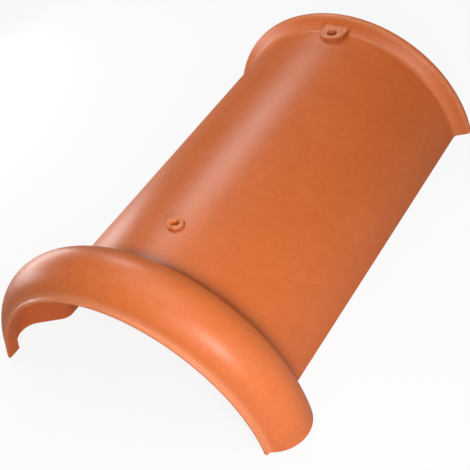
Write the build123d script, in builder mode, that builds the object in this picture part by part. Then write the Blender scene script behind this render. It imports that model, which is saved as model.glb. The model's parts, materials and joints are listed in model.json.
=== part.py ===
from build123d import *

import os
from math import cos, radians, sin, sqrt, tan

# Ventilated ridge tile: one fired clay arch for a roof ridge.
# The tile is a body of revolution about a level axis below its feet, cut off level at the feet.
# Its near end swells into a hollow roll whose rim stands clear of the tile it laps. Its far end has
# an upstand flange that the roll of the neighbouring tile covers, with a nail boss at the crown.
# +Y runs along the tile from the roll to the flange, +Z is up, and the feet stand on Z = 0.

# Driving dimensions, in millimetres and degrees

tile_length = 420.0
axis_drop = 19.4  # the axis of the round lies this far below the feet

# Barrel: the parallel arch between the two ends
barrel_radius = 120.0  # outside
barrel_wall = 12.0

# Flange: the upstand at the far end
flange_rise = 12.0  # above the barrel's outside
flange_root = 13.5  # thickness where it leaves the barrel
flange_tip = 5.7  # thickness at its top
flange_cove = 6.0  # hollow round between barrel and flange
flange_front_round = 4.0
flange_back_round = 1.5
bore_end_round = 2.0

# Roll: the hollow swelling at the near end
vent_gap = 8.4  # from the barrel of the lapped tile up to the rim
rim_thickness = 4.0
rim_reach = 3.3  # the rim stands this far ahead of the roll
rim_round = 1.7
rim_root_round = 1.2  # hollow round behind the rim
land_length = 13.2  # flat inside of the rim, along the axis
land_round = 1.2
flange_clearance = 7.2  # over the top of the lapped flange
roll_wall = 12.2  # at the top of the roll
hollow_round = 17.0  # radius of the hollow's section
hollow_flank_angle = 56.0  # from the axis
hollow_throat_round = 12.0  # where the hollow runs into the barrel's inside
roll_round = 30.0  # radius of the roll's section
roll_flank_angle = 60.0  # from the axis
roll_crease_round = 8.0

# Nail boss: a round-nosed block at the crown, against the flange
boss_radius = 13.0  # of its round nose, so half its width
boss_reach = 19.0  # from the root of the flange to the nose
boss_rise = 5.0  # above the crown of the barrel
boss_edge_round = 0.8
boss_hole_radius = 4.5
boss_hole_setback = 8.5  # from the root of the flange to the hole's axis

# Nail pip: a low round collar with a countersunk nail hole, on the crown behind the roll
pip_distance = 111.5  # from the rim's front
pip_radius = 7.2
pip_rise = 4.0  # above the crown of the barrel
pip_edge_round = 1.0
pip_hole_radius = 2.6
pip_sink_radius = 4.8
pip_sink_angle = 84.0

foot_edge_round = 1.0

# Radii worked out from the axis, and places along the tile from the rim's front

bore_radius = barrel_radius - barrel_wall
flange_radius = barrel_radius + flange_rise
rim_radius = barrel_radius + vent_gap
rim_outer_radius = rim_radius + rim_thickness
hollow_top_radius = flange_radius + flange_clearance
roll_top_radius = hollow_top_radius + roll_wall
crown_height = barrel_radius - axis_drop

hollow_centre_radius = hollow_top_radius - hollow_round
hollow_half_chord = sqrt(hollow_round**2 - (rim_radius - hollow_centre_radius) ** 2)
hollow_centre = Vector(land_length + hollow_half_chord, hollow_centre_radius)

roll_centre_radius = roll_top_radius - roll_round
roll_half_chord = sqrt(roll_round**2 - (rim_outer_radius - roll_centre_radius) ** 2)
roll_centre = Vector(rim_reach + roll_half_chord, roll_centre_radius)


def tangent_point(centre, radius, flank_angle):
    """Where a flank that falls at this angle to the axis leaves the round behind its top."""
    turn = radians(flank_angle)
    return Vector(centre.X + radius * sin(turn), centre.Y + radius * cos(turn))


def flank_foot(start, end_radius, flank_angle):
    """Where a flank that falls at this angle from its start comes down to a radius."""
    run = (start.Y - end_radius) / tan(radians(flank_angle))
    return Vector(start.X + run, end_radius)


# Corners of the wall's section, as distance from the rim's front and radius from the axis

rim_inner_corner = Vector(0, rim_radius)
rim_outer_corner = Vector(0, rim_outer_radius)
rim_root = Vector(rim_reach, rim_outer_radius)
roll_top = Vector(roll_centre.X, roll_top_radius)
roll_flank_start = tangent_point(roll_centre, roll_round, roll_flank_angle)
roll_crease = flank_foot(roll_flank_start, barrel_radius, roll_flank_angle)
flange_root_corner = Vector(tile_length - flange_root, barrel_radius)
flange_front_corner = Vector(tile_length - flange_tip, flange_radius)
flange_back_corner = Vector(tile_length, flange_radius)
bore_end_corner = Vector(tile_length, bore_radius)
hollow_flank_start = tangent_point(hollow_centre, hollow_round, hollow_flank_angle)
hollow_throat = flank_foot(hollow_flank_start, bore_radius, hollow_flank_angle)
hollow_top = Vector(hollow_centre.X, hollow_top_radius)
land_end = Vector(land_length, rim_radius)

corner_rounds = (
    (rim_inner_corner, rim_round),
    (rim_outer_corner, rim_round),
    (rim_root, rim_root_round),
    (roll_crease, roll_crease_round),
    (flange_root_corner, flange_cove),
    (flange_front_corner, flange_front_round),
    (flange_back_corner, flange_back_round),
    (bore_end_corner, bore_end_round),
    (hollow_throat, hollow_throat_round),
    (land_end, land_round),
)

# The section lies below the axis, so the seam of the turned body is cut away with its lower half
tile_front = -tile_length / 2
section_plane = Plane(origin=(0, tile_front, -axis_drop), x_dir=(0, 1, 0), z_dir=(-1, 0, 0))
turning_axis = Axis((0, tile_front, -axis_drop), (0, 1, 0))
flange_root_y = tile_front + tile_length - flange_root
flange_front_y = tile_front + tile_length - flange_tip
boss_nose_y = flange_root_y - boss_reach + boss_radius
boss_hole_place = Vector(0, flange_root_y - boss_hole_setback, crown_height + boss_rise)
pip_place = Vector(0, tile_front + pip_distance, crown_height + pip_rise)

os.makedirs("parts", exist_ok=True)

with BuildPart() as ridge_tile:
    # Wall: the section turned about the axis and cut level at the feet
    with BuildSketch(section_plane) as wall_section:
        with BuildLine() as wall_outline:
            Polyline(rim_inner_corner, rim_outer_corner, rim_root)
            ThreePointArc(rim_root, roll_top, roll_flank_start)
            Polyline(
                roll_flank_start,
                roll_crease,
                flange_root_corner,
                flange_front_corner,
                flange_back_corner,
                bore_end_corner,
                hollow_throat,
                hollow_flank_start,
            )
            ThreePointArc(hollow_flank_start, hollow_top, land_end)
            Line(land_end, rim_inner_corner)
        make_face()
        for corner, round_radius in corner_rounds:
            fillet(wall_section.vertices().sort_by_distance(corner)[0], round_radius)
    revolve(axis=turning_axis)
    split(bisect_by=Plane.XY, keep=Keep.TOP)

    # Feet: their sharp edges are eased
    foot_faces = ridge_tile.faces().filter_by(Axis.Z).sort_by(Axis.Z)[:2]
    fillet(foot_faces.edges(), foot_edge_round)

    # Nail pip: a collar from halfway down the wall up to its flat top
    with BuildSketch(Plane.XY.offset(crown_height - barrel_wall / 2)) as pip_plan:
        with Locations((pip_place.X, pip_place.Y)):
            Circle(pip_radius)
    extrude(amount=pip_rise + barrel_wall / 2)
    pip_top_edges = ridge_tile.edges().filter_by(GeomType.CIRCLE).sort_by_distance(pip_place)[:1]
    fillet(pip_top_edges, pip_edge_round)
    with Locations(pip_place):
        CounterSinkHole(pip_hole_radius, pip_sink_radius, counter_sink_angle=pip_sink_angle)

    # Nail boss: from halfway down the wall up to its flat top, and back into the flange
    with BuildSketch(Plane.XY.offset(crown_height - barrel_wall / 2)) as boss_plan:
        with Locations((0, boss_nose_y)):
            Circle(boss_radius)
            Rectangle(2 * boss_radius, flange_front_y - boss_nose_y, align=(Align.CENTER, Align.MIN))
    extrude(amount=boss_rise + barrel_wall / 2)
    boss_top_face = ridge_tile.faces().filter_by(Axis.Z).sort_by(Axis.Z)[-1]
    boss_rim_edges = boss_top_face.edges().filter_by_position(Axis.Y, tile_front, flange_root_y)
    fillet(boss_rim_edges, boss_edge_round)
    with Locations(boss_hole_place):
        Hole(boss_hole_radius)

ridge_tile.part.label = "ridge_tile"
export_step(ridge_tile.part, "parts/ridge_tile.step")
print("ridge_tile", round(ridge_tile.part.volume), "cubic mm", ridge_tile.part.bounding_box().size)
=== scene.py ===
# %% [markdown]
# # A ventilated ridge tile in fired clay
# A ridge tile covers the top line of a roof. This one is a long half-round arch. Its near end swells
# into a hollow roll, and the roll covers the upstand flange at the far end of the next tile, with a
# little room left for air. A boss with a nail hole stands against the flange, and a small round
# nail pip stands on the crown behind the roll.
#
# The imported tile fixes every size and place. It is loaded first and is never moved. The tile that
# the camera sees is worked out afresh with numpy, because a clay surface needs finer and softer
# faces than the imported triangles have.

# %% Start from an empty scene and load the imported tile
import json

import bpy
import numpy as np
from mathutils import Matrix, Vector

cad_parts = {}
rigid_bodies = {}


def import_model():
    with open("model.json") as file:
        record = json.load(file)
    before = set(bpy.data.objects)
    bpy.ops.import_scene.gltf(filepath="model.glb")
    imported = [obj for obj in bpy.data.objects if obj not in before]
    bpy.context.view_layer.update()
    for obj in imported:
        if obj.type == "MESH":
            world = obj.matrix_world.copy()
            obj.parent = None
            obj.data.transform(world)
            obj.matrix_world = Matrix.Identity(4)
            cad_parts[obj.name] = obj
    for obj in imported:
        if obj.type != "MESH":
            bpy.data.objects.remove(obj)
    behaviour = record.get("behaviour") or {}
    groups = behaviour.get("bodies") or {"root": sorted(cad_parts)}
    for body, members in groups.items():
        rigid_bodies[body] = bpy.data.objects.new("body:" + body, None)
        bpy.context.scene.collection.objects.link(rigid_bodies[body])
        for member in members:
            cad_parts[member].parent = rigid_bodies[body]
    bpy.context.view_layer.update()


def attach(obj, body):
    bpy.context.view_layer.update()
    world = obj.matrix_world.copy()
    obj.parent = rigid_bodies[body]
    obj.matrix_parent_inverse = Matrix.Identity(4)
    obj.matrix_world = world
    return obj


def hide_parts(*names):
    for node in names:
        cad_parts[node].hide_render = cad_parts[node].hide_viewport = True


for left_over in list(bpy.data.objects):
    bpy.data.objects.remove(left_over)
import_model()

# %% [markdown]
# ## The section of the wall
# Cut the tile along its ridge and look at the cut: the wall has one section, the same all the way
# round. A potter's template would have this shape. The section could be drawn as a Bezier curve and
# spun, but worked-out points keep every round exact. A point of the section is a pair: the distance
# along the tile from the front of the rim, and the radius from the axis, both in millimetres.

# %% Sizes of the section
tile_length = 420.0
axis_drop = 19.4  # the axis of the arch lies this far below the feet
barrel_radius = 120.0
bore_radius = 108.0
flange_radius = 132.0
flange_root = 13.5
flange_tip = 5.7
rim_radius = 128.4
rim_outer_radius = 132.4
rim_reach = 3.3
land_length = 13.2
hollow_top_radius = 139.2
hollow_round = 17.0
hollow_flank_angle = 56.0
roll_top_radius = 151.4
roll_round = 30.0
roll_flank_angle = 60.0

# %% Rounds between the lines of the section


def arc(centre, radius, start, end, count):
    """Points of a circle: centre + radius * (cosine, sine) of an angle that goes evenly from start
    to end, in degrees."""
    turn = np.radians(np.linspace(start, end, count))
    return np.stack([centre[0] + radius * np.cos(turn), centre[1] + radius * np.sin(turn)], axis=1)


def eased_corner(before, corner, after, radius, count):
    """The arc that rounds a corner of two straight lines. Its centre lies on the line that halves
    the corner, radius / sine(half the opening) away from it."""
    corner = np.asarray(corner, float)
    to_before = (before - corner) / np.linalg.norm(before - corner)
    to_after = (after - corner) / np.linalg.norm(after - corner)
    half_opening = np.arccos(to_before @ to_after) / 2
    halving = (to_before + to_after) / np.linalg.norm(to_before + to_after)
    centre = corner + halving * radius / np.sin(half_opening)
    touches = [corner + way * radius / np.tan(half_opening) - centre for way in (to_before, to_after)]
    start, end = (np.degrees(np.arctan2(touch[1], touch[0])) for touch in touches)
    sweep = (end - start + 180.0) % 360.0 - 180.0
    return arc(centre, radius, start, start + sweep, count)


def eased_into_round(line_radius, big_centre, big_round, radius, count):
    """The small arc between a level line and the near side of a big round. Its centre lies one
    radius above the line and big_round + radius from the big centre. Also gives the angle at which
    the big round takes over."""
    rise = line_radius + radius - big_centre[1]
    centre_along = big_centre[0] - np.sqrt((big_round + radius) ** 2 - rise**2)
    centre = np.array([centre_along, line_radius + radius])
    toward = np.degrees(np.arctan2(big_centre[1] - centre[1], big_centre[0] - centre[0]))
    return arc(centre, radius, -90.0, toward, count), toward + 180.0


def straight(start, end, count):
    """Points evenly spaced between two points, without the two."""
    share = np.linspace(0, 1, count + 2)[1:-1, None]
    return start + (end - start) * share


def flank(centre, radius, angle, foot_radius):
    """Where a flank at this angle to the axis leaves a round, and where it comes down to a radius."""
    turn = np.radians(angle)
    leave = np.array([centre[0] + radius * np.sin(turn), centre[1] + radius * np.cos(turn)])
    foot = np.array([leave[0] + (leave[1] - foot_radius) / np.tan(turn), foot_radius])
    return leave, foot


# %% Near end: rim and roll outside, land and hollow inside
rim_round, rim_root_round, land_round = 1.7, 1.2, 1.2
crease_round, throat_round = 8.0, 12.0
roll_rise = roll_top_radius - roll_round
roll_half_chord = np.sqrt(roll_round**2 - (rim_outer_radius - roll_rise) ** 2)
roll_centre = np.array([rim_reach + roll_half_chord, roll_rise])
hollow_rise = hollow_top_radius - hollow_round
hollow_half_chord = np.sqrt(hollow_round**2 - (rim_radius - hollow_rise) ** 2)
hollow_centre = np.array([land_length + hollow_half_chord, hollow_rise])
rim_middle = np.array([0.0, (rim_radius + rim_outer_radius) / 2])
rim_root = np.array([rim_reach, rim_outer_radius])
land_end = np.array([land_length, rim_radius])
flange_foot = np.array([tile_length - flange_root, barrel_radius])
bore_end = np.array([tile_length, bore_radius])

rim_back, roll_start = eased_into_round(rim_outer_radius, roll_centre, roll_round, rim_root_round, 5)
roll_leave, crease_corner = flank(roll_centre, roll_round, roll_flank_angle, barrel_radius)
crease = eased_corner(roll_leave, crease_corner, flange_foot, crease_round, 8)
outer_near = np.concatenate([
    [rim_middle],
    eased_corner(rim_middle, (0.0, rim_outer_radius), rim_root, rim_round, 6),
    rim_back,
    arc(roll_centre, roll_round, roll_start, 90.0 - roll_flank_angle, 34)[1:],
    straight(roll_leave, crease[0], 5),
    crease,
])

land_back, hollow_start = eased_into_round(rim_radius, hollow_centre, hollow_round, land_round, 5)
hollow_leave, throat_corner = flank(hollow_centre, hollow_round, hollow_flank_angle, bore_radius)
throat = eased_corner(hollow_leave, throat_corner, bore_end, throat_round, 8)
rim_inside = eased_corner(rim_middle, (0.0, rim_radius), land_end, rim_round, 6)
barrel_start = outer_near[-1, 0]
inner_near = np.concatenate([
    [rim_middle],
    rim_inside,
    straight(rim_inside[-1], land_back[0], 4),
    land_back,
    arc(hollow_centre, hollow_round, hollow_start, 90.0 - hollow_flank_angle, 25)[1:],
    straight(hollow_leave, throat[0], 6),
    throat,
    straight(throat[-1], np.array([barrel_start, bore_radius]), 3),
    [[barrel_start, bore_radius]],
])
print("near end points, outside and inside", len(outer_near), len(inner_near))

# %% [markdown]
# ## Barrel and far end
# The barrel is straight, so a few rows would do for it. Two places need closer rows: the nail pip and
# the nail boss, whose round meshes are let into the barrel later. The outside and the inside get the
# same rows, because the holes run from one to the other and because the feet are filled by joining
# each outside point to its partner inside.

# %% Rows of the barrel and the far end
pip_distance = 111.5
patch_pitch = 1.5
pip_cells = 14
boss_cells = 22
boss_first_row = 381.0
boss_slope_rows = 2  # rows above the cove that the nail boss reaches over
flange_cove, flange_crest_round, flange_back_round, bore_end_round = 6.0, 4.0, 1.5, 2.0
flange_crest = np.array([tile_length - flange_tip, flange_radius])
flange_corner = np.array([tile_length, flange_radius])
end_middle = np.array([tile_length, (flange_radius + bore_radius) / 2])

barrel_near = np.array([barrel_start, barrel_radius])
cove = eased_corner(barrel_near, flange_foot, flange_crest, flange_cove, 8)
crest = eased_corner(flange_foot, flange_crest, flange_corner, flange_crest_round, 7)
back_edge = eased_corner(flange_crest, flange_corner, end_middle, flange_back_round, 6)
pip_rows = pip_distance + patch_pitch * (np.arange(pip_cells + 1) - pip_cells / 2)
rows = np.concatenate([
    np.linspace(barrel_start, pip_rows[0], 10)[1:-1],
    pip_rows,
    np.linspace(pip_rows[-1], boss_first_row, 41)[1:-1],
    np.linspace(boss_first_row, cove[0, 0], 16),
])
slope_shares = np.array([[0.3], [0.6], [0.85]])
slope = cove[-1] + (crest[0] - cove[-1]) * slope_shares
outer_far = np.concatenate([
    cove[1:], slope, crest, straight(crest[-1], back_edge[0], 1), back_edge,
    straight(back_edge[-1], end_middle, 2), [end_middle],
])
shared = len(cove) - 1 + boss_slope_rows
bore_round = eased_corner(np.array([0.0, bore_radius]), bore_end, end_middle, bore_end_round, 7)
shared_rows = np.stack([outer_far[:shared, 0], np.full(shared, bore_radius)], axis=1)
inner_far = np.concatenate([
    shared_rows, straight(shared_rows[-1], bore_round[0], 5), bore_round,
    straight(bore_round[-1], end_middle, 5), [end_middle],
])
barrel_outside = np.stack([rows, np.full(len(rows), barrel_radius)], axis=1)
barrel_inside = np.stack([rows, np.full(len(rows), bore_radius)], axis=1)
outer_line = np.concatenate([outer_near, barrel_outside, outer_far])
inner_line = np.concatenate([inner_near, barrel_inside, inner_far])
pairs = len(outer_line)
section = np.concatenate([outer_line, inner_line[-2:0:-1]])
points_round = len(section)
print("section points", points_round, "outside and inside", pairs, len(inner_line))

# %% [markdown]
# ## Carrying the section round the arch
# Every point of the section runs round the axis on its own radius, from the right foot over the crown
# to the left foot. The feet are one level plane, so a point on a larger radius starts a little lower
# in angle. The sharp edges of the feet were wiped with a sponge before firing, so the last few
# stations shrink the section along its own inward direction and follow a quarter round down to the
# floor.

# %% Stations from foot to foot
foot_round = 1.0
stations = 225
foot_steps = 5


def on_tile(along, radius, angle):
    """A point of the tile: radius * cosine across, the distance along it, and radius * sine less the
    axis's depth for the height."""
    across, height = radius * np.cos(angle), radius * np.sin(angle) - axis_drop
    return np.stack(np.broadcast_arrays(across, along - tile_length / 2, height), axis=-1)


run = np.roll(section, -1, axis=0) - np.roll(section, 1, axis=0)
inward = np.stack([run[:, 1], -run[:, 0]], axis=1) / np.linalg.norm(run, axis=1)[:, None]
first_angle = np.arcsin((axis_drop + foot_round) / section[:, 1])
share = np.linspace(0, 1, stations)[:, None]
wall = on_tile(section[:, 0], section[:, 1], first_angle + (np.pi - 2 * first_angle) * share)

foot_turn = np.radians(np.linspace(0, 90, foot_steps + 1))[1:, None]
foot_along = section[:, 0] + inward[:, 0] * foot_round * (1 - np.cos(foot_turn))
foot_radius = section[:, 1] + inward[:, 1] * foot_round * (1 - np.cos(foot_turn))
foot_angle = np.arcsin((axis_drop + foot_round * (1 - np.sin(foot_turn))) / foot_radius)
right_foot = on_tile(foot_along, foot_radius, foot_angle)[::-1]
left_foot = on_tile(foot_along, foot_radius, np.pi - foot_angle)
grid = np.concatenate([right_foot, wall, left_foot])
crown = foot_steps + stations // 2
print("grid", grid.shape, "crown height", round(float(grid[crown, pairs // 2, 2]), 2), "mm")

# %% Faces of the wall and the feet
grid_points = grid.shape[0] * points_round
number = np.arange(grid_points).reshape(grid.shape[0], points_round)
after = np.roll(number, -1, axis=1)
cells = np.stack([number[:-1], after[:-1], after[1:], number[1:]], axis=-1)
kept = np.ones(cells.shape[:2], bool)


def inner_number(row):
    """The place in the section of the inside partner of an outside row."""
    return (points_round - row) % points_round


partner = np.arange(pairs)
foot_faces = []
for station, order in ((0, (0, 1, 2, 3)), (grid.shape[0] - 1, (0, 3, 2, 1))):
    outside, inside = number[station, partner], number[station, inner_number(partner)]
    quads = np.stack([outside[:-1], inside[:-1], inside[1:], outside[1:]], axis=1)[:, order]
    middle_faces = quads[1:-1].tolist()
    end_faces = [list(dict.fromkeys(quads[end].tolist())) for end in (0, -1)]
    foot_faces += middle_faces + end_faces
print("foot faces", len(foot_faces))

# %% [markdown]
# ## Letting a round detail into the grid
# A hole or a boss doesn't fit the rows of the grid. Cutting it with a Boolean would leave long thin
# faces that spoil the smooth shading. Here a block of cells is taken out instead, outside and inside,
# and rings close the opening: they start at the edge of the block, run in to the detail, go down the
# hole and run out again to the edge of the inner block.

# %% Blocks and rings
extra_points = []
extra_faces = []
point_count = grid_points
ring_crowding = 1.5  # the rings inside lie closer together near the hole the more this is above 1


def block_edge(half_cells, first_row, last_row):
    """Stations and rows round a block of cells at the crown, counter-clockwise from above."""
    low, high = crown - half_cells, crown + half_cells
    up, across = np.arange(first_row, last_row), np.arange(low, high)
    at_first, at_last = np.full(len(across), first_row), np.full(len(across), last_row)
    station = np.concatenate([np.full(len(up), low), across, np.full(len(up), high), across[::-1] + 1])
    row = np.concatenate([up, at_last, up[::-1] + 1, at_first])
    kept[low:high, first_row:last_row] = False
    kept[low:high, points_round - last_row:points_round - first_row] = False
    return station, row


def close_with_rings(station, row, rings):
    """Joins the outer block's edge, each ring of new points and the inner block's edge in turn."""
    global point_count
    new = point_count + np.arange(rings.shape[0] * rings.shape[1]).reshape(rings.shape[:2])
    point_count += new.size
    rows_of_rings = np.concatenate([[number[station, row]], new, [number[station, inner_number(row)]]])
    onward = np.roll(rows_of_rings, -1, axis=1)
    faces = np.stack([rows_of_rings[:-1], onward[:-1], onward[1:], rows_of_rings[1:]], axis=-1)
    extra_points.append(rings.reshape(-1, 3))
    extra_faces.append(faces.reshape(-1, 4))


rising = slice(len(outer_near), pairs - len(outer_far) + len(cove) + 1)


def outside_height(x, along):
    """Height of the outside at a place: the section's radius there, less what the arch has fallen."""
    radius = np.interp(along, outer_line[rising, 0], outer_line[rising, 1])
    return np.sqrt(radius**2 - x**2) - axis_drop


def inside_height(x):
    """Height of the bore's surface at a distance across."""
    return np.sqrt(bore_radius**2 - x**2) - axis_drop


def hole_and_inside(edge_plan, edge_height, inner_edge, down_steps, out_steps):
    """Rings down a hole from its upper edge to the bore, then out along the bore to the block."""
    foot_height = inside_height(edge_plan[:, 0])
    down = np.linspace(0, 1, down_steps + 1)[1:, None]
    heights = edge_height + (foot_height - edge_height) * down
    same_plan = np.broadcast_to(edge_plan, (down_steps, *edge_plan.shape))
    down_rings = np.concatenate([same_plan, heights[..., None]], -1)
    out = (np.linspace(0, 1, out_steps + 2)[1:-1] ** ring_crowding)[:, None, None]
    plan = edge_plan + (inner_edge[:, :2] - edge_plan) * out
    out_rings = np.concatenate([plan, inside_height(plan[..., :1])], -1)
    return np.concatenate([down_rings, out_rings])


# %% [markdown]
# ## The nail pip
# Behind the roll stands a low round collar with a nail hole, so that rain runs round the nail. The
# punch that made the hole tore the soft clay, and nobody smoothed it: the hole is ragged, a few dents
# lie beside it, and the top is crumbly. A lathe shape would be too perfect. One height function of
# the place gives it all: the smooth maximum of the barrel and a round block, less the dents.

# %% Torn clay
torn_lengths = np.array([6.1, 4.3, 3.1, 2.3])
torn_ways = np.radians([20.0, 75.0, 130.0, 165.0])
torn_bend, torn_bend_rate = 1.3, 2.0


def torn_clay(x, y):
    """Crumbly surface from 0 to 1: the mean of sine waves, each in its own direction and bent by a
    sine of the place along another."""
    phase = x[..., None] * np.cos(torn_ways) + y[..., None] * np.sin(torn_ways)
    bend = torn_bend * np.sin(phase[..., ::-1] * torn_bend_rate)
    ripple = np.sin(phase * 2 * np.pi / torn_lengths + bend)
    return 0.5 + ripple.mean(-1) / 2


def smooth_maximum(upper, lower, cove):
    """The larger of two heights, plus h^2 / (4 * cove) where they differ by less than the cove, h
    being what is left of it."""
    left = np.clip(cove - np.abs(upper - lower), 0, None)
    return np.maximum(upper, lower) + left**2 / (4 * cove)


def block_height(top, edge, lean, depth):
    """A block with a rounded edge and leaning sides, from the distance inside its plan: the top, less
    the quarter round near the edge, less lean times the distance outside."""
    short = np.clip(edge - depth, 0, edge)
    return top - (edge - np.sqrt(edge**2 - short**2)) - lean * np.clip(-depth, 0, None)


# %% Shape of the nail pip
pip_centre = np.array([0.0, pip_distance - tile_length / 2])
pip_radius, pip_rise, pip_edge, pip_lean, pip_cove = 7.2, 3.8, 0.7, 8.0, 0.6
pip_tilt = np.array([-0.10, 0.10])  # how much the top rises for each millimetre across and along
pip_torn = 0.6
pip_hole_radius, pip_sink_radius, pip_sink_depth = 2.6, 4.2, 1.2
# each dent: across, along, its reach and its depth
pip_dents = np.array([
    (-2.8, -2.4, 1.5, 1.3), (-3.6, -5.6, 1.5, 1.6), (-0.9, -6.4, 1.1, 1.2), (4.4, 3.6, 1.3, 0.6),
])


def pip_height(x, y):
    """Rise over the barrel: smooth maximum of a round block and nothing, less torn clay and dents
    where the block stands, less the funnel that falls to the hole, half evenly and half as the
    square of the way down."""
    reach = np.hypot(x, y)
    top = pip_rise + x * pip_tilt[0] + y * pip_tilt[1]
    block = block_height(top, pip_edge, pip_lean, pip_radius - reach)
    on_block = np.clip(block / top, 0, 1)
    away = (x[..., None] - pip_dents[:, 0]) ** 2 + (y[..., None] - pip_dents[:, 1]) ** 2
    dents = (pip_dents[:, 3] * np.exp(-away / pip_dents[:, 2] ** 2)).sum(-1)
    down = np.clip((pip_sink_radius - reach) / (pip_sink_radius - pip_hole_radius), 0, 1)
    funnel = pip_sink_depth * down * (0.5 + 0.5 * down)
    worn = block - on_block * (dents + funnel + pip_torn * torn_clay(x, y))
    return smooth_maximum(worn, np.zeros_like(worn), pip_cove)


# %% Rings of the nail pip
ragged_twice, ragged_thrice = 0.14, 0.09  # share by which the hole swings two and three times round
first_round_reach = 9.4  # the first rings go over from the square of the block to this circle
square_shares = np.array([[0.66], [0.33]])
# circles on the barrel round the pip, on its side and edge, and on its top down to the hole
pip_reaches = np.concatenate([
    np.linspace(9.0, 8.2, 5), np.linspace(8.05, 6.7, 24), np.linspace(6.5, 3.1, 17),
])
pip_first_row = len(outer_near) + int(np.argmin(np.abs(rows - pip_rows[0])))
station, row = block_edge(pip_cells // 2, pip_first_row, pip_first_row + pip_cells)
outer_edge = grid[station, row]
spread = outer_edge[:, :2] - pip_centre
edge_reach = np.hypot(spread[:, 0], spread[:, 1])
way = spread / edge_reach[:, None]
bearing = np.arctan2(way[:, 1], way[:, 0])
ragged_hole = pip_hole_radius * (
    1 + ragged_twice * np.cos(2 * bearing - 0.6) + ragged_thrice * np.cos(3 * bearing + 1.0)
)
ring_reach = np.concatenate([
    first_round_reach + (edge_reach - first_round_reach) * square_shares,
    np.broadcast_to(pip_reaches[:, None], (len(pip_reaches), len(edge_reach))),
    [ragged_hole],
])
plan = pip_centre + way * ring_reach[..., None]
offset = plan - pip_centre
barrel_height = outside_height(plan[..., 0], plan[..., 1] + tile_length / 2)
height = barrel_height + pip_height(offset[..., 0], offset[..., 1])
top_rings = np.concatenate([plan, height[..., None]], -1)
hole_rings = hole_and_inside(plan[-1], height[-1], grid[station, inner_number(row)], 6, 5)
close_with_rings(station, row, np.concatenate([top_rings, hole_rings]))
print("nail pip rings", len(top_rings), "rays", len(row))

# %% [markdown]
# ## The nail boss
# Against the flange stands a flat-topped block with a round nose and the main nail hole. It grew out
# of the mould with the wall, so its sides lean a little and its foot runs into the barrel and the
# flange with a small cove. Its top is crumbly like the pip's. The same functions give its height: the
# smooth maximum of the outside of the tile and of a block with a rounded edge.

# %% Shape of the nail boss
boss_nose = 400.5  # centre of the round nose, along the tile
boss_radius = 12.8
boss_rise = 4.8
boss_top = barrel_radius - axis_drop + boss_rise
boss_edge = 0.7
boss_lean = 12.0  # how many millimetres its side falls for each one outwards
boss_cove = 0.9
boss_torn = 0.7
boss_hole_distance = 398.0
boss_hole = np.array([0.0, boss_hole_distance - tile_length / 2])
boss_hole_radius, boss_hole_edge = 4.5, 0.7


def inside_boss(x, along):
    """Distance inside the boss's plan: a round nose that goes over into two straight sides."""
    nose = boss_radius - np.hypot(x, along - boss_nose)
    return np.where(along < boss_nose, nose, boss_radius - np.abs(x))


def boss_height(x, along):
    """Smooth maximum of the outside and the block, whose top is lowered by torn clay."""
    block = block_height(boss_top, boss_edge, boss_lean, inside_boss(x, along))
    return smooth_maximum(block - boss_torn * torn_clay(x, along), outside_height(x, along), boss_cove)


# %% Rays from the hole to the outline of the boss, found by halving
farthest, halvings = 60.0, 40
least_way = 1e-6  # stands in for nothing and less on rays that don't run toward the flange
boss_first = len(outer_near) + int(np.argmin(np.abs(rows - boss_first_row)))
boss_last = len(outer_near) + len(rows) + shared - 1
station, row = block_edge(boss_cells // 2, boss_first, boss_last)
outer_edge = grid[station, row]
spread = outer_edge[:, :2] - boss_hole
edge_reach = np.hypot(spread[:, 0], spread[:, 1])
way = spread / edge_reach[:, None]
near, far = np.zeros(len(row)), np.full(len(row), farthest)
for halving in range(halvings):
    middle = (near + far) / 2
    along = boss_hole[1] + way[:, 1] * middle + tile_length / 2
    within = inside_boss(way[:, 0] * middle, along) > 0
    near, far = np.where(within, middle, near), np.where(within, far, middle)
slope_meets = np.interp(boss_top + axis_drop, outer_line[rising, 1], outer_line[rising, 0])
to_slope = (slope_meets - boss_hole[1] - tile_length / 2) / np.clip(way[:, 1], least_way, None)
outline_reach = np.minimum(near, to_slope)
print("boss outline from", outline_reach.min().round(2), "to", outline_reach.max().round(2), "mm")

# %% Rings of the nail boss
steps_out = np.array([2.4, 1.7, 1.25, 1.0, 0.85, 0.7, 0.55, 0.4, 0.25, 0.1])[:, None]
steps_in = np.array([0.0, 0.06, 0.15, 0.3, 0.5, 0.75, 1.0, 1.35, 1.8, 2.4])[:, None]
top_shares = np.array([0.75, 0.5, 0.25, 0.0])[:, None]
full_room = 3.0  # with less than this up to the block's edge, the outer rings draw together
room = np.clip((edge_reach - outline_reach) / full_room, 0, 1)
rim_reaches = np.concatenate([outline_reach + steps_out * room, outline_reach - steps_in])
hole_lip = boss_hole_radius + boss_hole_edge
lip_turn = np.radians(np.linspace(0, 90, 5))[1:, None]
ring_reach = np.concatenate([
    rim_reaches,
    hole_lip + (rim_reaches[-1] - hole_lip) * top_shares,
    np.broadcast_to(hole_lip - boss_hole_edge * np.sin(lip_turn), (len(lip_turn), len(row))),
])
lip_fall = np.zeros((len(ring_reach), 1))
lip_fall[-len(lip_turn):] = boss_hole_edge * (1 - np.cos(lip_turn))
plan = boss_hole + way * ring_reach[..., None]
height = boss_height(plan[..., 0], plan[..., 1] + tile_length / 2) - lip_fall
top_rings = np.concatenate([plan, height[..., None]], -1)
hole_rings = hole_and_inside(plan[-1], height[-1], grid[station, inner_number(row)], 8, 6)
close_with_rings(station, row, np.concatenate([top_rings, hole_rings]))
print("nail boss rings", len(top_rings), "rays", len(row))

# %% [markdown]
# ## One closed mesh
# The parts are joined into one list of points and faces, and points that the blocks left over are
# dropped. Joining separate objects would leave seams in the shading, which one mesh doesn't have.

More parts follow.
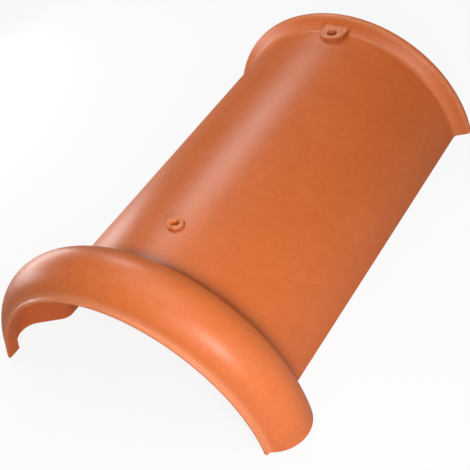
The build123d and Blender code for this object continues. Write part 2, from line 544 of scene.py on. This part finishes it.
# %% Build the mesh
MM = 0.001
points = np.concatenate([grid.reshape(-1, 3), *extra_points])
all_quads = np.concatenate([cells[kept].reshape(-1, 4), *extra_faces])
used = np.zeros(len(points), bool)
used[all_quads.ravel()] = True
renumber = np.cumsum(used) - 1
faces = renumber[all_quads].tolist()
faces += [[int(renumber[corner]) for corner in face] for face in foot_faces]
tile_mesh = bpy.data.meshes.new("ridge_tile_clay")
tile_mesh.from_pydata((points[used] * MM).tolist(), [], faces)
tile_mesh.validate()
tile_mesh.shade_smooth()
tile = bpy.data.objects.new("ridge_tile_clay", tile_mesh)
bpy.context.scene.collection.objects.link(tile)
triangles = sum(len(polygon.vertices) - 2 for polygon in tile_mesh.polygons)
print("mesh", len(tile_mesh.vertices), "points", triangles, "triangles")

# %% [markdown]
# ## Painted shade and painted highlight
# The crease behind the roll and the feet of pip and boss get painted shade: a darker clay colour where
# shade falls there. The small rounds of the edges and the torn tops get a painted highlight: a paler
# clay colour. The material could guess both from the curvature, but the section already knows where
# they are, so two shares are kept on the points of the mesh.

# %% Share of painted shade in the crease behind the roll
crease_start, crease_fade = 52.0, 8.0  # along the tile: where the painted shade begins, and over what length
crease_full, crease_end = 70.0, 83.0  # along the tile: up to where it is full, and where it ends
along_tile = points[used, 1] + tile_length / 2
radius_here = np.hypot(points[used, 0], points[used, 2] + axis_drop)
on_outside = radius_here > (barrel_radius + bore_radius) / 2
painted_shade_share = np.clip((crease_end - along_tile) / (crease_end - crease_full), 0, 1)
painted_shade_share *= np.clip((along_tile - crease_start) / crease_fade, 0, 1) * on_outside

# %% Share of painted highlight on the small rounds along the edges
full_turn = 20.0  # degrees that the section turns in a millimetre of a small round
least_step = 0.2
turn_here = np.degrees(np.arccos(np.clip((inward * np.roll(inward, 1, axis=0)).sum(1), -1, 1)))
step_here = np.linalg.norm(section - np.roll(section, 1, axis=0), axis=1)
small_round = np.clip(turn_here / np.clip(step_here, least_step, None) / full_turn, 0, 1)
small_round = np.maximum(small_round, (np.roll(small_round, 1) + np.roll(small_round, -1)) / 2)
round_highlight_share = np.where(np.arange(points_round) < pairs, small_round, 0.0)

# %% Shares of painted shade round the feet and painted highlight on the tops of pip and boss
pip_margin, boss_margin = 0.4, 0.2  # how far past its radius the pip counts, and inside it the boss
least_lift = 0.4  # a top stands at least this far over the outside
torn_gain, torn_floor = 2.4, 0.5
pip_zone = 4.0
foot_shade_share, foot_shade_place, foot_shade_width = 0.85, 0.45, 0.5  # painted shade round the feet of pip and boss; the place is measured out from the plan
foot_shade_floor = -1.0  # the painted shade lies on the outside and not down in the holes
on_rings = points[grid_points:]
ring_x, ring_along = on_rings[:, 0], on_rings[:, 1] + tile_length / 2
lift = on_rings[:, 2] - outside_height(ring_x, ring_along)
pip_outside = np.hypot(ring_x, ring_along - pip_distance) - pip_radius
boss_inside = inside_boss(ring_x, ring_along)
on_top = ((pip_outside < pip_margin) | (boss_inside > boss_margin)) & (lift > least_lift)
# painted highlight: a paler colour on the torn tops of the pip and the boss
top_highlight_part = np.clip(torn_gain * torn_clay(ring_x, ring_along) - torn_floor, 0, 1)
top_highlight_share = np.where(on_top, top_highlight_part, 0.0)
highlight_share = np.concatenate([np.tile(round_highlight_share, grid.shape[0]), top_highlight_share])[used]
block_outside = np.where(pip_outside < pip_zone, pip_outside, -boss_inside)
# painted shade: a darker band round the feet of the pip and the boss, where shade falls
painted_foot_shade = foot_shade_share * np.exp(-((block_outside - foot_shade_place) / foot_shade_width) ** 2) * (lift > foot_shade_floor)
painted_shade_share = np.maximum(painted_shade_share, np.concatenate([np.zeros(grid_points), painted_foot_shade])[used])
# the attribute named crease carries the painted shade, the other one the painted highlight
for share_name, share_values in (("crease", painted_shade_share), ("painted_edge_highlight", highlight_share)):
    share_data = tile_mesh.attributes.new(share_name, "FLOAT", "POINT").data
    share_data.foreach_set("value", share_values.astype(np.float32))
print("crease points", int((painted_shade_share > 0.5).sum()), "edge points", int((highlight_share > 0.5).sum()))

# %% [markdown]
# ## Uneven clay
# Pressed clay dries and shrinks by several per cent, so no line of it is dead straight. Long soft
# waves of a tenth of a millimetre break up the gloss. A bump in the material could do that too, but
# the outline would stay ruled. The waves only go inwards, so the tile keeps within its packed size.

# %% Move the points inwards by the waves
uneven_depth = 0.1
wave_lengths = np.array([130.0, 96.0, 71.0, 52.0, 38.0, 27.0, 19.0])
wave_stretch = (1.0, 0.45, 1.0)  # the waves run more across the tile than along it
waves = np.random.default_rng(7)
wave_ways = waves.normal(size=(len(wave_lengths), 3)) * wave_stretch
wave_ways /= np.linalg.norm(wave_ways, axis=1)[:, None]
wave_starts = waves.uniform(0, 2 * np.pi, len(wave_lengths))


def unevenness(place):
    """Sum of sine waves of falling length in fixed directions, each as high as the square root of
    its length, brought to the range from -1 to 1."""
    phase = place @ wave_ways.T * (2 * np.pi / wave_lengths) + wave_starts
    heights = np.sqrt(wave_lengths)
    return (np.sin(phase) * heights).sum(1) / heights.sum()


place = np.empty(len(tile_mesh.vertices) * 3, np.float32)
tile_mesh.vertices.foreach_get("co", place)
place = place.reshape(-1, 3).astype(float)
normals = np.empty(len(tile_mesh.vertices) * 3, np.float32)
tile_mesh.vertex_normals.foreach_get("vector", normals)
normals = normals.reshape(-1, 3)
depth = uneven_depth * (2.0 - unevenness(place / MM)) * np.clip(place[:, 2] / MM / foot_round, 0, 1)
moved = place - normals * (depth * MM)[:, None]
tile_mesh.vertices.foreach_set("co", moved.ravel().astype(np.float32))
tile_mesh.update()
print("uneven by", depth.min().round(3), "to", depth.max().round(3), "mm")

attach(tile, "root")
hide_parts("ridge_tile")

# %% [markdown]
# ## Fired clay
# The tile is red-burning clay with a thin slip of the same clay, fired to a matt surface with a faint
# satin sheen. The eye reads it from an orange body that drifts a little in tone, a fine sandy grain and
# a soft wide gloss. On top of these the colour carries painted light: paler edges and torn tops as a
# painted highlight, and a darker crease and feet of pip and boss as painted shade. A plain colour would
# show none of these. The tone, the grain and the gloss come from noises of a real size, and the painted
# highlight and the painted shade from the shares on the points.

# %% Material helpers


def hex_colour(hex_code):
    """Linear colour from an sRGB hex value: c / 12.92 up to 0.04045, else ((c + 0.055) / 1.055) to
    the power of 2.4."""
    channels = np.array([int(hex_code[i:i + 2], 16) for i in (0, 2, 4)]) / 255
    linear = np.where(channels <= 0.04045, channels / 12.92, ((channels + 0.055) / 1.055) ** 2.4)
    return (*linear.tolist(), 1.0)


def add_node(tree, kind, sockets=(), **settings):
    """Adds one node, sets its settings, and fills its sockets with values or links them. Sockets 6
    and 7 of a colour mix are its two colours."""
    node = tree.nodes.new(kind)
    for setting, value in settings.items():
        setattr(node, setting, value)
    for socket, value in dict(sockets).items():
        if isinstance(value, bpy.types.NodeSocket):
            tree.links.new(value, node.inputs[socket])
        else:
            node.inputs[socket].default_value = value
    return node


def per_metre(size_mm):
    """Scale of a noise whose blobs are about this many millimetres wide."""
    return 1.0 / (size_mm * MM)


# %% Tone and grain of the clay
clay = bpy.data.materials.new("matt_fired_clay")
clay.use_nodes = True
tree = clay.node_tree
tree.nodes.clear()
where = add_node(tree, "ShaderNodeTexCoord").outputs["Object"]
cloud = add_node(tree, "ShaderNodeTexNoise", {
    "Vector": where, "Scale": per_metre(60), "Detail": 3.0, "Roughness": 0.55,
})
mottle = add_node(tree, "ShaderNodeTexNoise", {
    "Vector": where, "Scale": per_metre(9), "Detail": 4.0, "Roughness": 0.6,
})
# real grit is under half a millimetre, drawn coarser here so that it shows at the picture's scale
grit = add_node(tree, "ShaderNodeTexNoise", {
    "Vector": where, "Scale": per_metre(1.3), "Detail": 2.0, "Roughness": 0.6,
})
tone = add_node(tree, "ShaderNodeMath", {
    0: cloud.outputs["Fac"], 1: mottle.outputs["Fac"],
}, operation="ADD")
tone_share = add_node(tree, "ShaderNodeMapRange", {
    "Value": tone.outputs[0], "From Min": 0.7, "From Max": 1.3,
})
body = add_node(tree, "ShaderNodeMix", {
    0: tone_share.outputs[0], 6: hex_colour("C7602A"), 7: hex_colour("CF682F"),
}, data_type="RGBA")
grit_share = add_node(tree, "ShaderNodeMapRange", {
    "Value": grit.outputs["Fac"], "From Min": 0.35, "From Max": 0.75, "To Min": 0.0, "To Max": 0.16,
})
sandy = add_node(tree, "ShaderNodeMix", {
    0: grit_share.outputs[0], 6: body.outputs[2], 7: hex_colour("E39B6E"),
}, data_type="RGBA")

# %% Painted highlight on the edges and painted shade in the crease
highlight_strength, shade_strength, shade_falloff = 0.35, 0.68, 1.6
# painted highlight: this share lightens the clay toward E8A27A on the small rounds and the torn tops
painted_edge_highlight = add_node(tree, "ShaderNodeAttribute", attribute_name="painted_edge_highlight").outputs["Fac"]
highlight_part = add_node(tree, "ShaderNodeMath", {0: painted_edge_highlight, 1: highlight_strength}, operation="MULTIPLY")
highlighted = add_node(tree, "ShaderNodeMix", {
    0: highlight_part.outputs[0], 6: sandy.outputs[2], 7: hex_colour("E8A27A"),
}, data_type="RGBA")
# painted shade: this share darkens the clay toward 803A15 in the crease and round the feet of pip and
# boss
painted_crease_shade = add_node(tree, "ShaderNodeAttribute", attribute_name="crease").outputs["Fac"]
shade_part = add_node(tree, "ShaderNodeMath", {0: painted_crease_shade, 1: shade_falloff}, operation="POWER")
shade_depth = add_node(tree, "ShaderNodeMath", {
    0: shade_part.outputs[0], 1: shade_strength,
}, operation="MULTIPLY")
shaded_body = add_node(tree, "ShaderNodeMix", {
    0: shade_depth.outputs[0], 6: highlighted.outputs[2], 7: hex_colour("803A15"),
}, data_type="RGBA")

# %% Gloss and relief
mottle_relief = 0.6  # of the height of the grit
gloss = add_node(tree, "ShaderNodeMapRange", {
    "Value": mottle.outputs["Fac"], "From Min": 0.3, "From Max": 0.7, "To Min": 0.37, "To Max": 0.42,
})
relief = add_node(tree, "ShaderNodeMath", {
    0: mottle.outputs["Fac"], 1: mottle_relief, 2: grit.outputs["Fac"],
}, operation="MULTIPLY_ADD")
bump = add_node(tree, "ShaderNodeBump", {
    "Height": relief.outputs[0], "Strength": 0.35, "Distance": 0.15 * MM,
})
clay_shader = add_node(tree, "ShaderNodeBsdfPrincipled", {
    "Base Color": shaded_body.outputs[2], "Roughness": gloss.outputs[0], "IOR": 1.5,
    "Specular IOR Level": 0.34, "Normal": bump.outputs[0],
})
add_node(tree, "ShaderNodeOutputMaterial", {"Surface": clay_shader.outputs[0]})
tile_mesh.materials.append(clay)
print("clay nodes", len(tree.nodes))

# %% [markdown]
# ## Floor and light
# The tile lies on a pale studio floor under soft light. A small box near the right front lights the
# face of the roll. A box behind on the left lays the long streak of gloss along the crown, and a low
# strip on the left draws that side's outline. Three large boxes above, in front and on the right give
# the even light.
#
# The floor is near white to the camera and keeps a faint shadow of the tile. The clay's gloss sees a
# greyer paper with a little of the white, because a white floor in it would make the lower left side
# too pale.

# %% Floor
floor_half = 4.0
floor_drop = 0.0003
corner_signs = np.array([(-1, -1, 0), (1, -1, 0), (1, 1, 0), (-1, 1, 0)])
floor_mesh = bpy.data.meshes.new("studio_floor")
floor_mesh.from_pydata((corner_signs * floor_half - (0, 0, floor_drop)).tolist(), [], [(0, 1, 2, 3)])
floor = bpy.data.objects.new("studio_floor", floor_mesh)
bpy.context.scene.collection.objects.link(floor)

white_to_camera, white_in_gloss = 0.9, 0.08
paper = bpy.data.materials.new("white_studio_paper")
paper.use_nodes = True
tree = paper.node_tree
tree.nodes.clear()
ray = add_node(tree, "ShaderNodeLightPath")
mirrored = add_node(tree, "ShaderNodeMath", {
    0: ray.outputs["Is Glossy Ray"], 1: ray.outputs["Is Transmission Ray"],
}, operation="MAXIMUM")
mirrored_white = add_node(tree, "ShaderNodeMath", {
    0: mirrored.outputs[0], 1: white_in_gloss,
}, operation="MULTIPLY")
direct_white = add_node(tree, "ShaderNodeMath", {
    0: ray.outputs["Is Camera Ray"], 1: white_to_camera,
}, operation="MULTIPLY")
share_white = add_node(tree, "ShaderNodeMath", {
    0: direct_white.outputs[0], 1: mirrored_white.outputs[0],
}, operation="MAXIMUM")
paper_tone = add_node(tree, "ShaderNodeMix", {
    0: ray.outputs["Is Glossy Ray"], 6: hex_colour("F2F1EF"), 7: hex_colour("7D7A75"),
}, data_type="RGBA")
matt = add_node(tree, "ShaderNodeBsdfDiffuse", {"Color": paper_tone.outputs[2]})
glow = add_node(tree, "ShaderNodeEmission", {"Color": hex_colour("FCFCFC"), "Strength": 1.0})
both = add_node(tree, "ShaderNodeMixShader", {
    0: share_white.outputs[0], 1: matt.outputs[0], 2: glow.outputs[0],
})
add_node(tree, "ShaderNodeOutputMaterial", {"Surface": both.outputs[0]})
floor_mesh.materials.append(paper)
print("floor", 2 * floor_half, "m wide, paper nodes", len(tree.nodes))

# %% Lamps
look_at = Vector((-0.0187, -0.0038, 0.0))


def soft_box(name, place, aim, width, height, power):
    """A rectangular lamp at a place, turned to face the point that it aims at, in metres and watts."""
    lamp = bpy.data.lights.new(name, "AREA")
    lamp.shape, lamp.size, lamp.size_y, lamp.energy = "RECTANGLE", width, height, power
    stand = bpy.data.objects.new(name, lamp)
    facing = (Vector(place) - Vector(aim)).to_track_quat("Z", "Y").to_matrix().to_4x4()
    stand.matrix_world = Matrix.Translation(place) @ facing
    stand.visible_camera = False
    bpy.context.scene.collection.objects.link(stand)


soft_box("key_box", (0.42, -0.44, 0.386), (0.095, -0.194, 0.094), 0.13, 0.13, 2.2)
soft_box("streak_box", (-0.774, 0.928, 1.06), look_at, 0.4, 0.4, 7.0)
soft_box("left_strip", (-0.5, -0.03, 0.08), (0.0, -0.03, 0.08), 0.46, 0.11, 1.35)
soft_box("top_box", (0.0, 0.0, 1.4), look_at, 1.0, 1.0, 7.5)
soft_box("front_box", (0.45, -0.95, 0.8), look_at, 0.7, 0.7, 4.0)
soft_box("right_box", (1.2, 0.1, 0.6), look_at, 0.8, 0.8, 1.8)
print("lamps", [lamp.name for lamp in bpy.data.lights])

# %% World: the camera sees a pale room, which hardly lights the tile
room_light, room_to_camera = 0.02, 0.88
world = bpy.data.worlds.new("studio_room")
bpy.context.scene.world = world
world.use_nodes = True
tree = world.node_tree
tree.nodes.clear()
ray = add_node(tree, "ShaderNodeLightPath")
room_level = add_node(tree, "ShaderNodeMapRange", {
    "Value": ray.outputs["Is Camera Ray"], "To Min": room_light, "To Max": room_to_camera,
})
room = add_node(tree, "ShaderNodeBackground", {
    "Color": hex_colour("FFFFFF"), "Strength": room_level.outputs[0],
})
add_node(tree, "ShaderNodeOutputWorld", {"Surface": room.outputs[0]})
bpy.context.scene.view_settings.view_transform = "Standard"

# %% [markdown]
# ## Camera
# The camera looks down on the tile from the right of its near end. Its place, lens and tilt were found
# by laying the tile's outline over the photograph.

# %% Camera
picture_side = 470
sensor = 36.0
camera_azimuth, camera_elevation, camera_roll = np.radians((38.83, 41.491, -12.862))
camera_distance = 0.9978
focal_pixels = 1068.8
camera_target = np.array([-0.018627, -0.003674, 0.0])

backward = np.array([
    np.sin(camera_azimuth) * np.cos(camera_elevation),
    -np.cos(camera_azimuth) * np.cos(camera_elevation),
    np.sin(camera_elevation),
])
level = np.array([np.cos(camera_azimuth), np.sin(camera_azimuth), 0.0])
upright = np.cross(backward, level)
right = np.cos(camera_roll) * level + np.sin(camera_roll) * upright
up = -np.sin(camera_roll) * level + np.cos(camera_roll) * upright
camera_data = bpy.data.cameras.new("photo_camera")
camera_data.sensor_width = sensor
camera_data.lens = focal_pixels / picture_side * sensor
camera = bpy.data.objects.new("photo_camera", camera_data)
turned = np.eye(4)
turned[:3, :3] = np.stack([right, up, backward], axis=1)
turned[:3, 3] = camera_target + backward * camera_distance
camera.matrix_world = Matrix(turned.tolist())
bpy.context.scene.collection.objects.link(camera)
bpy.context.scene.camera = camera
camera_place = [round(value, 4) for value in camera.matrix_world.translation]
print("camera", camera_place, "lens", round(camera_data.lens, 2))
